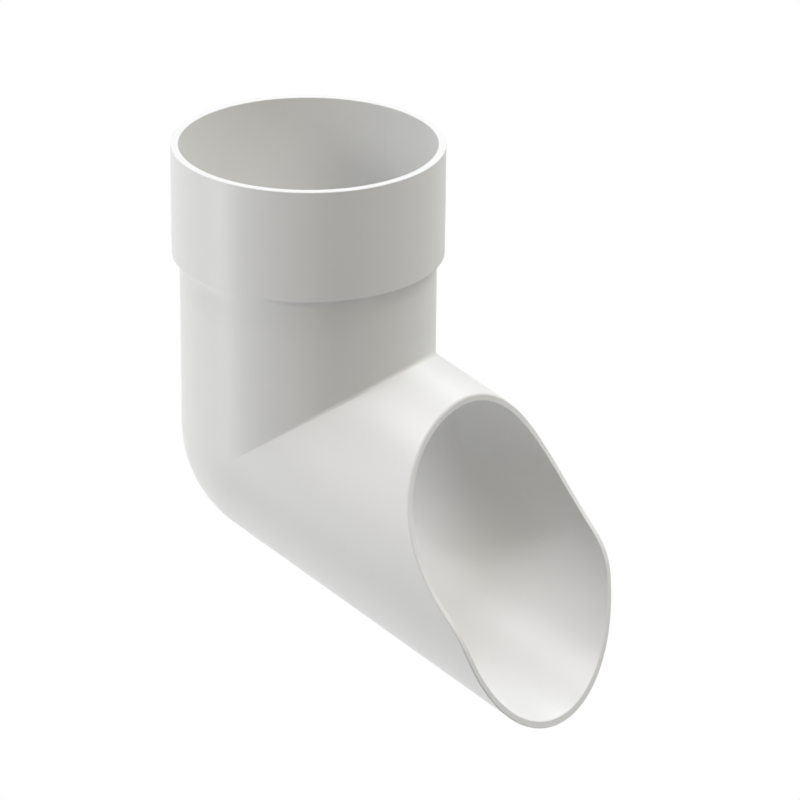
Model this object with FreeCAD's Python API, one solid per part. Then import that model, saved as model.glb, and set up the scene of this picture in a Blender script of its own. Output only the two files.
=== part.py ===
import FreeCAD, Part
import math
import os

from FreeCAD import Vector

# Downpipe shoe: the spout at the foot of a round rainwater pipe, moulded in PVC as one hollow piece.
# Lengths are in millimetres and angles in degrees.
# The origin is the middle of the seat that the pipe's end stands on. +Z runs up the pipe, and the
# outlet leaves towards -Y, so that X = 0 is the plane of symmetry.

# The pipe that the socket takes
downpipe_diameter = 80.0
downpipe_wall = 1.8
socket_clearance = 0.25

# The moulding. The socket's wall is stouter than the rest. The outlet's angle is its fall below the level.
socket_wall = 2.4
body_wall = 2.0
socket_depth = 33.2
stop_to_bend = 60.8
outlet_angle = 18.0

# The mouth, seen from the side: a hollow curve from the crown, then a swell into a straight lip.
# Each angle is measured from a cut square across the outlet.
crown_length = 19.9
crown_angle = 25.2
hollow_radius = 91.6
steepest_angle = 61.8
swell_radius = 32.1
lip_angle = 34.7

# Edges: the round in the crease of the throat, the break round the outside of the mouth, and the finer
# break on the other free edges
throat_round = 1.4
mouth_break = 0.35
edge_break = 0.15

# How far a cutting shape runs past what it cuts, and how closely an edge follows what it lies on
overrun = 10.0
tolerance = 1e-4
points_along_edge = 5

# Radii that follow from these sizes. The body's bore runs on flush with the bore of the pipe.
socket_bore_radius = downpipe_diameter / 2 + socket_clearance
socket_radius = socket_bore_radius + socket_wall
bore_radius = downpipe_diameter / 2 - downpipe_wall
body_radius = bore_radius + body_wall

# The axes of body and outlet cross at the bend
across = Vector(1, 0, 0)
upward = Vector(0, 0, 1)
bend = Vector(0, 0, -stop_to_bend)
fall = math.radians(outlet_angle)
outward = Vector(0, -math.cos(fall), -math.sin(fall))
crownward = Vector(0, -math.sin(fall), math.cos(fall))
rim_height = socket_depth
shoulder_height = -socket_wall


def in_outlet(reach, height):
    """Point in the plane of symmetry, by its reach along the outlet and its height above the axis."""
    return bend + outward * reach + crownward * height


def along_profile(start, angle, length):
    """Point a length further down a straight stretch of the mouth's profile."""
    turn = math.radians(angle)
    return start + outward * (length * math.sin(turn)) - crownward * (length * math.cos(turn))


def profile_arc(start, angle_from, angle_to, radius):
    """Arc of the mouth's profile that leaves its start at one angle and ends at another."""
    # A growing angle curves round a centre out beyond the mouth, a shrinking one round a centre inside
    side = 1 if angle_to > angle_from else -1

    def to_centre(angle):
        turn = math.radians(angle)
        return (outward * math.cos(turn) + crownward * math.sin(turn)) * (side * radius)

    centre = start + to_centre(angle_from)
    middle = centre - to_centre((angle_from + angle_to) / 2)
    end = centre - to_centre(angle_to)
    return Part.Arc(start, middle, end).toShape()


def mouth_profile():
    """The mouth's outline in the plane of symmetry, from above the crown to below the lip."""
    throat_reach = body_radius * math.tan(math.radians(90 - outlet_angle) / 2)
    crown = in_outlet(throat_reach + crown_length, body_radius)
    lead_in = Part.LineSegment(along_profile(crown, crown_angle, -overrun), crown).toShape()
    hollow = profile_arc(crown, crown_angle, steepest_angle, hollow_radius)
    swell_start = hollow.Vertexes[-1].Point
    swell = profile_arc(swell_start, steepest_angle, lip_angle, swell_radius)
    lip_start = swell.Vertexes[-1].Point
    # The straight lip runs on until it is well below the underside
    lip_height = (lip_start - bend).dot(crownward) + body_radius
    lip_length = max(lip_height, 0) / math.cos(math.radians(lip_angle)) + overrun
    lip = Part.LineSegment(lip_start, along_profile(lip_start, lip_angle, lip_length)).toShape()
    return Part.Wire([lead_in, hollow, swell, lip])


def mouth_tools():
    """The surface that the mouth is cut along, the block beyond it and the block's furthest reach."""
    profile = mouth_profile()
    top = profile.Vertexes[0].Point
    tip = profile.Vertexes[-1].Point
    reach = (tip - bend).dot(outward) + overrun
    corners = [tip]
    corners.append(in_outlet(reach, (tip - bend).dot(crownward)))
    corners.append(in_outlet(reach, (top - bend).dot(crownward)))
    corners.append(top)
    outline = Part.Wire(profile.Edges + Part.makePolygon(corners).Edges)
    half_width = body_radius + overrun
    aside = across * -half_width
    span = across * (2 * half_width)
    surface = profile.translated(aside).extrude(span)
    block = Part.Face(outline).translated(aside).extrude(span)
    return surface, block, reach


def bent_tube(radius, top_height, reach, crease_round):
    """Solid of one radius round both axes, with a ball at the heel and a rounded crease at the throat."""
    body = Part.makeCylinder(radius, top_height + stop_to_bend, bend, upward)
    heel = Part.makeSphere(radius, bend)
    outlet = Part.makeCylinder(radius, reach, bend, outward)
    solid = body.fuse([heel, outlet]).removeSplitter().Solids[0]
    creases = [edge for edge in solid.Edges if isinstance(edge.Curve, Part.Ellipse)]
    return solid.makeFillet(crease_round, creases)


def edges_along(solid, *guides):
    """Edges of a solid that lie along every guiding surface or curve from end to end."""
    found = []
    for edge in solid.Edges:
        if edge.Degenerated:
            continue
        spots = [Part.Vertex(point) for point in edge.discretize(points_along_edge)]
        gaps = [guide.distToShape(spot)[0] for guide in guides for spot in spots]
        if max(gaps) < tolerance:
            found.append(edge)
    return found


def ring(height, radius):
    """Circle round the pipe's axis."""
    return Part.makeCircle(radius, Vector(0, 0, height))


def shoe():
    """The whole moulding: bent body with its socket, hollowed, cut to its mouth, free edges broken."""
    surface, block, reach = mouth_tools()
    outside = bent_tube(body_radius, shoulder_height, reach, throat_round)
    inside = bent_tube(bore_radius, rim_height, reach + overrun, throat_round + body_wall)
    socket = Part.makeCylinder(socket_radius, rim_height - shoulder_height, Vector(0, 0, shoulder_height))
    socket_bore = Part.makeCylinder(socket_bore_radius, socket_depth + overrun)
    hollow_body = outside.fuse(socket).cut(inside.fuse(socket_bore))
    trimmed = hollow_body.cut(block).removeSplitter().Solids[0]
    fine_edges = edges_along(trimmed, surface, inside.Shells[0])
    fine_edges += edges_along(trimmed, ring(rim_height, socket_radius))
    fine_edges += edges_along(trimmed, ring(rim_height, socket_bore_radius))
    broken = trimmed.makeChamfer(edge_break, fine_edges)
    return broken.makeChamfer(mouth_break, edges_along(broken, surface, outside.Shells[0]))


os.makedirs("parts", exist_ok=True)
downpipe_shoe = shoe()
downpipe_shoe.exportStep("parts/downpipe_shoe.step")
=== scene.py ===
import math

import bpy
from mathutils import Matrix, Vector

# Looks of the downpipe shoe: white satin PVC in a white studio.
# Lengths are in metres, in the part's own frame, except for the camera's lens and sensor, in millimetres.

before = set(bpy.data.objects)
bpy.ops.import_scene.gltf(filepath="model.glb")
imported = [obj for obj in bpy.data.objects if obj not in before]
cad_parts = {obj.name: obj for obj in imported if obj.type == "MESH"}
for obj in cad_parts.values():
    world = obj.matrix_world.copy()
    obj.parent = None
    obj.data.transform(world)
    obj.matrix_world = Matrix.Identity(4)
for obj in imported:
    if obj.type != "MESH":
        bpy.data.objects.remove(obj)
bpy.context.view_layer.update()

# Camera: its place was found from the rims, sides and mouth in the photograph. The picture is square.
camera_azimuth = math.radians(-53.680)
camera_elevation = math.radians(24.163)
camera_roll = math.radians(0.564)
camera_distance = 1.3432
camera_lens = 191.95
camera_sensor = 36.0
aim_point = Vector((0, 0, -0.030775))
aim_right = 0.02885
aim_up = -0.02120

# PVC: two close whites, a satin gloss that wanders a little, and the fine skin of the mould
pvc_lighter = (0.872, 0.872, 0.862, 1.0)
pvc_darker = (0.848, 0.848, 0.836, 1.0)
gloss_roughness = (0.36, 0.44)
cloud_scale = 32.0
cloud_detail = 3.0
skin_scale = 1600.0
skin_detail = 2.0
skin_depth = 0.00002
skin_strength = 0.12

# Studio: the floor lies well below the shoe, which hangs on its pipe. Further than shadow_far from its middle
# the floor is seen as plain white. Within shadow_near it keeps a part of its own shade, so that the shoe's
# shadow shows.
floor_height = -0.70
floor_radius = 4.0
floor_sides = 96
floor_colour = (0.9, 0.9, 0.9, 1.0)
white_share_near = 0.35
white_share_far = 1.0
shadow_near = 0.45
shadow_far = 0.90
white = (1.0, 1.0, 1.0, 1.0)
white_strength = 1.0

# Soft boxes: azimuth and elevation in degrees, distance, width, height, and the light in red, green and blue
# on a surface that faces the box. At 1 a white surface shows as white. Taken together, the boxes keep the
# rim, which is the brightest face, just under white.
lamp_centre = Vector((0, -0.03, -0.05))
lamps = {
    "top": (16, 88, 2.6, 0.31, 2.72, (0.48, 0.48, 0.51)),
    "front": (-4, 48, 1.3, 0.95, 1.26, (0.38, 0.36, 0.31)),
    "heel": (230, 0, 1.3, 0.21, 1.25, (0.40, 0.40, 0.39)),
    "right": (82, 40, 2.6, 1.68, 0.40, (0.31, 0.33, 0.34)),
    "left": (226, 26, 1.3, 1.00, 0.28, (0.18, 0.18, 0.18)),
    "back": (166, 36, 1.3, 0.52, 0.29, (0.10, 0.10, 0.11)),
    "upper_left": (264, 75, 2.6, 0.66, 0.40, (0.09, 0.09, 0.10)),
}


def direction(azimuth, elevation):
    """Unit vector from the shoe towards a place round it. Azimuth 0 is in front of the outlet."""
    level = math.cos(elevation)
    return Vector((math.sin(azimuth) * level, -math.cos(azimuth) * level, math.sin(elevation)))


def add_camera():
    """Camera at the photograph's place, turned a little about its own line of sight."""
    back = direction(camera_azimuth, camera_elevation)
    level_right = Vector((math.cos(camera_azimuth), math.sin(camera_azimuth), 0))
    level_up = back.cross(level_right)
    right = math.cos(camera_roll) * level_right + math.sin(camera_roll) * level_up
    up = math.cos(camera_roll) * level_up - math.sin(camera_roll) * level_right
    place = aim_point + aim_right * right + aim_up * up + camera_distance * back
    data = bpy.data.cameras.new("camera")
    data.sensor_width = camera_sensor
    data.lens = camera_lens
    camera = bpy.data.objects.new("camera", data)
    camera.matrix_world = Matrix.Translation(place) @ Matrix((right, up, back)).transposed().to_4x4()
    bpy.context.scene.collection.objects.link(camera)
    bpy.context.scene.camera = camera


def add_lamp(name, azimuth, elevation, distance, width, height, light):
    """Soft box that faces the shoe. It shows in the gloss, but the camera doesn't see it."""
    towards = direction(math.radians(azimuth), math.radians(elevation))
    data = bpy.data.lights.new(name, "AREA")
    data.shape = "RECTANGLE"
    data.size = width
    data.size_y = height
    strongest = max(light)
    data.color = [part / strongest for part in light]
    # The power at which a small box gives this light at its distance
    data.energy = strongest * (math.pi * distance) ** 2
    lamp = bpy.data.objects.new(name, data)
    turn = towards.to_track_quat("Z", "Y").to_matrix().to_4x4()
    lamp.matrix_world = Matrix.Translation(lamp_centre + distance * towards) @ turn
    lamp.visible_camera = False
    bpy.context.scene.collection.objects.link(lamp)


def seen_directly(tree):
    """1 on rays that show the background: to the camera, in a gloss or through glass. Otherwise 0."""
    path = tree.nodes.new("ShaderNodeLightPath")
    seen = path.outputs["Is Camera Ray"]
    for kind in ("Is Glossy Ray", "Is Transmission Ray"):
        either = tree.nodes.new("ShaderNodeMath")
        either.operation = "MAXIMUM"
        tree.links.new(seen, either.inputs[0])
        tree.links.new(path.outputs[kind], either.inputs[1])
        seen = either.outputs[0]
    return seen


def set_world():
    """White wherever the background is seen. It sheds no other light on the shoe."""
    world = bpy.data.worlds.new("studio")
    world.use_nodes = True
    tree = world.node_tree
    tree.nodes.clear()
    backdrop = tree.nodes.new("ShaderNodeBackground")
    backdrop.inputs["Color"].default_value = white
    backdrop.inputs["Strength"].default_value = white_strength
    choice = tree.nodes.new("ShaderNodeMixShader")
    tree.links.new(seen_directly(tree), choice.inputs[0])
    tree.links.new(backdrop.outputs[0], choice.inputs[2])
    output = tree.nodes.new("ShaderNodeOutputWorld")
    tree.links.new(choice.outputs[0], output.inputs["Surface"])
    bpy.context.scene.world = world


def white_share(tree):
    """How much of the floor is plain white where it is seen: a part near its middle, all of it far out."""
    reach = tree.nodes.new("ShaderNodeVectorMath")
    reach.operation = "LENGTH"
    tree.links.new(tree.nodes.new("ShaderNodeTexCoord").outputs["Object"], reach.inputs[0])
    fade = tree.nodes.new("ShaderNodeMapRange")
    fade.interpolation_type = "SMOOTHSTEP"
    fade.inputs["From Min"].default_value = shadow_near
    fade.inputs["From Max"].default_value = shadow_far
    fade.inputs["To Min"].default_value = white_share_near
    fade.inputs["To Max"].default_value = white_share_far
    tree.links.new(reach.outputs["Value"], fade.inputs["Value"])
    share = tree.nodes.new("ShaderNodeMath")
    share.operation = "MULTIPLY"
    tree.links.new(seen_directly(tree), share.inputs[0])
    tree.links.new(fade.outputs["Result"], share.inputs[1])
    return share.outputs[0]


def floor_material():
    """Pale matt floor that looks white and still takes the shoe's shadow."""
    material = bpy.data.materials.new("studio_floor")
    material.use_nodes = True
    tree = material.node_tree
    tree.nodes.clear()
    matt = tree.nodes.new("ShaderNodeBsdfDiffuse")
    matt.inputs["Color"].default_value = floor_colour
    glow = tree.nodes.new("ShaderNodeEmission")
    glow.inputs["Color"].default_value = white
    glow.inputs["Strength"].default_value = white_strength
    choice = tree.nodes.new("ShaderNodeMixShader")
    tree.links.new(white_share(tree), choice.inputs[0])
    tree.links.new(matt.outputs[0], choice.inputs[1])
    tree.links.new(glow.outputs[0], choice.inputs[2])
    output = tree.nodes.new("ShaderNodeOutputMaterial")
    tree.links.new(choice.outputs[0], output.inputs["Surface"])
    return material


def add_floor():
    """Wide round floor below the shoe, which belongs to the studio and not to the part."""
    mesh = bpy.data.meshes.new("floor")
    points = []
    for k in range(floor_sides):
        turn = 2 * math.pi * k / floor_sides
        points.append((floor_radius * math.cos(turn), floor_radius * math.sin(turn), 0))
    mesh.from_pydata(points, [], [list(range(floor_sides))])
    mesh.materials.append(floor_material())
    floor = bpy.data.objects.new("floor", mesh)
    floor.location.z = floor_height
    bpy.context.scene.collection.objects.link(floor)


def noise(tree, place, scale, detail):
    """Noise texture in the part's own coordinates."""
    texture = tree.nodes.new("ShaderNodeTexNoise")
    texture.inputs["Scale"].default_value = scale
    texture.inputs["Detail"].default_value = detail
    tree.links.new(place, texture.inputs["Vector"])
    return texture.outputs["Fac"]


def pvc_material():
    """White PVC as it leaves the mould."""
    material = bpy.data.materials.new("white_pvc")
    material.use_nodes = True
    tree = material.node_tree
    shader = tree.nodes["Principled BSDF"]
    place = tree.nodes.new("ShaderNodeTexCoord").outputs["Object"]
    clouds = noise(tree, place, cloud_scale, cloud_detail)

    colour = tree.nodes.new("ShaderNodeMix")
    colour.data_type = "RGBA"
    colour.inputs["A"].default_value = pvc_darker
    colour.inputs["B"].default_value = pvc_lighter
    tree.links.new(clouds, colour.inputs["Factor"])
    tree.links.new(colour.outputs["Result"], shader.inputs["Base Color"])

    gloss = tree.nodes.new("ShaderNodeMapRange")
    gloss.inputs["To Min"].default_value, gloss.inputs["To Max"].default_value = gloss_roughness
    tree.links.new(clouds, gloss.inputs["Value"])
    tree.links.new(gloss.outputs["Result"], shader.inputs["Roughness"])

    skin = tree.nodes.new("ShaderNodeBump")
    skin.inputs["Strength"].default_value = skin_strength
    skin.inputs["Distance"].default_value = skin_depth
    tree.links.new(noise(tree, place, skin_scale, skin_detail), skin.inputs["Height"])
    tree.links.new(skin.outputs["Normal"], shader.inputs["Normal"])
    return material


add_camera()
set_world()
add_floor()
for name, setting in lamps.items():
    add_lamp(name, *setting)

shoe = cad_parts["downpipe_shoe"]
shoe.data.materials[0] = pvc_material()
bpy.context.scene.view_settings.view_transform = "Standard"
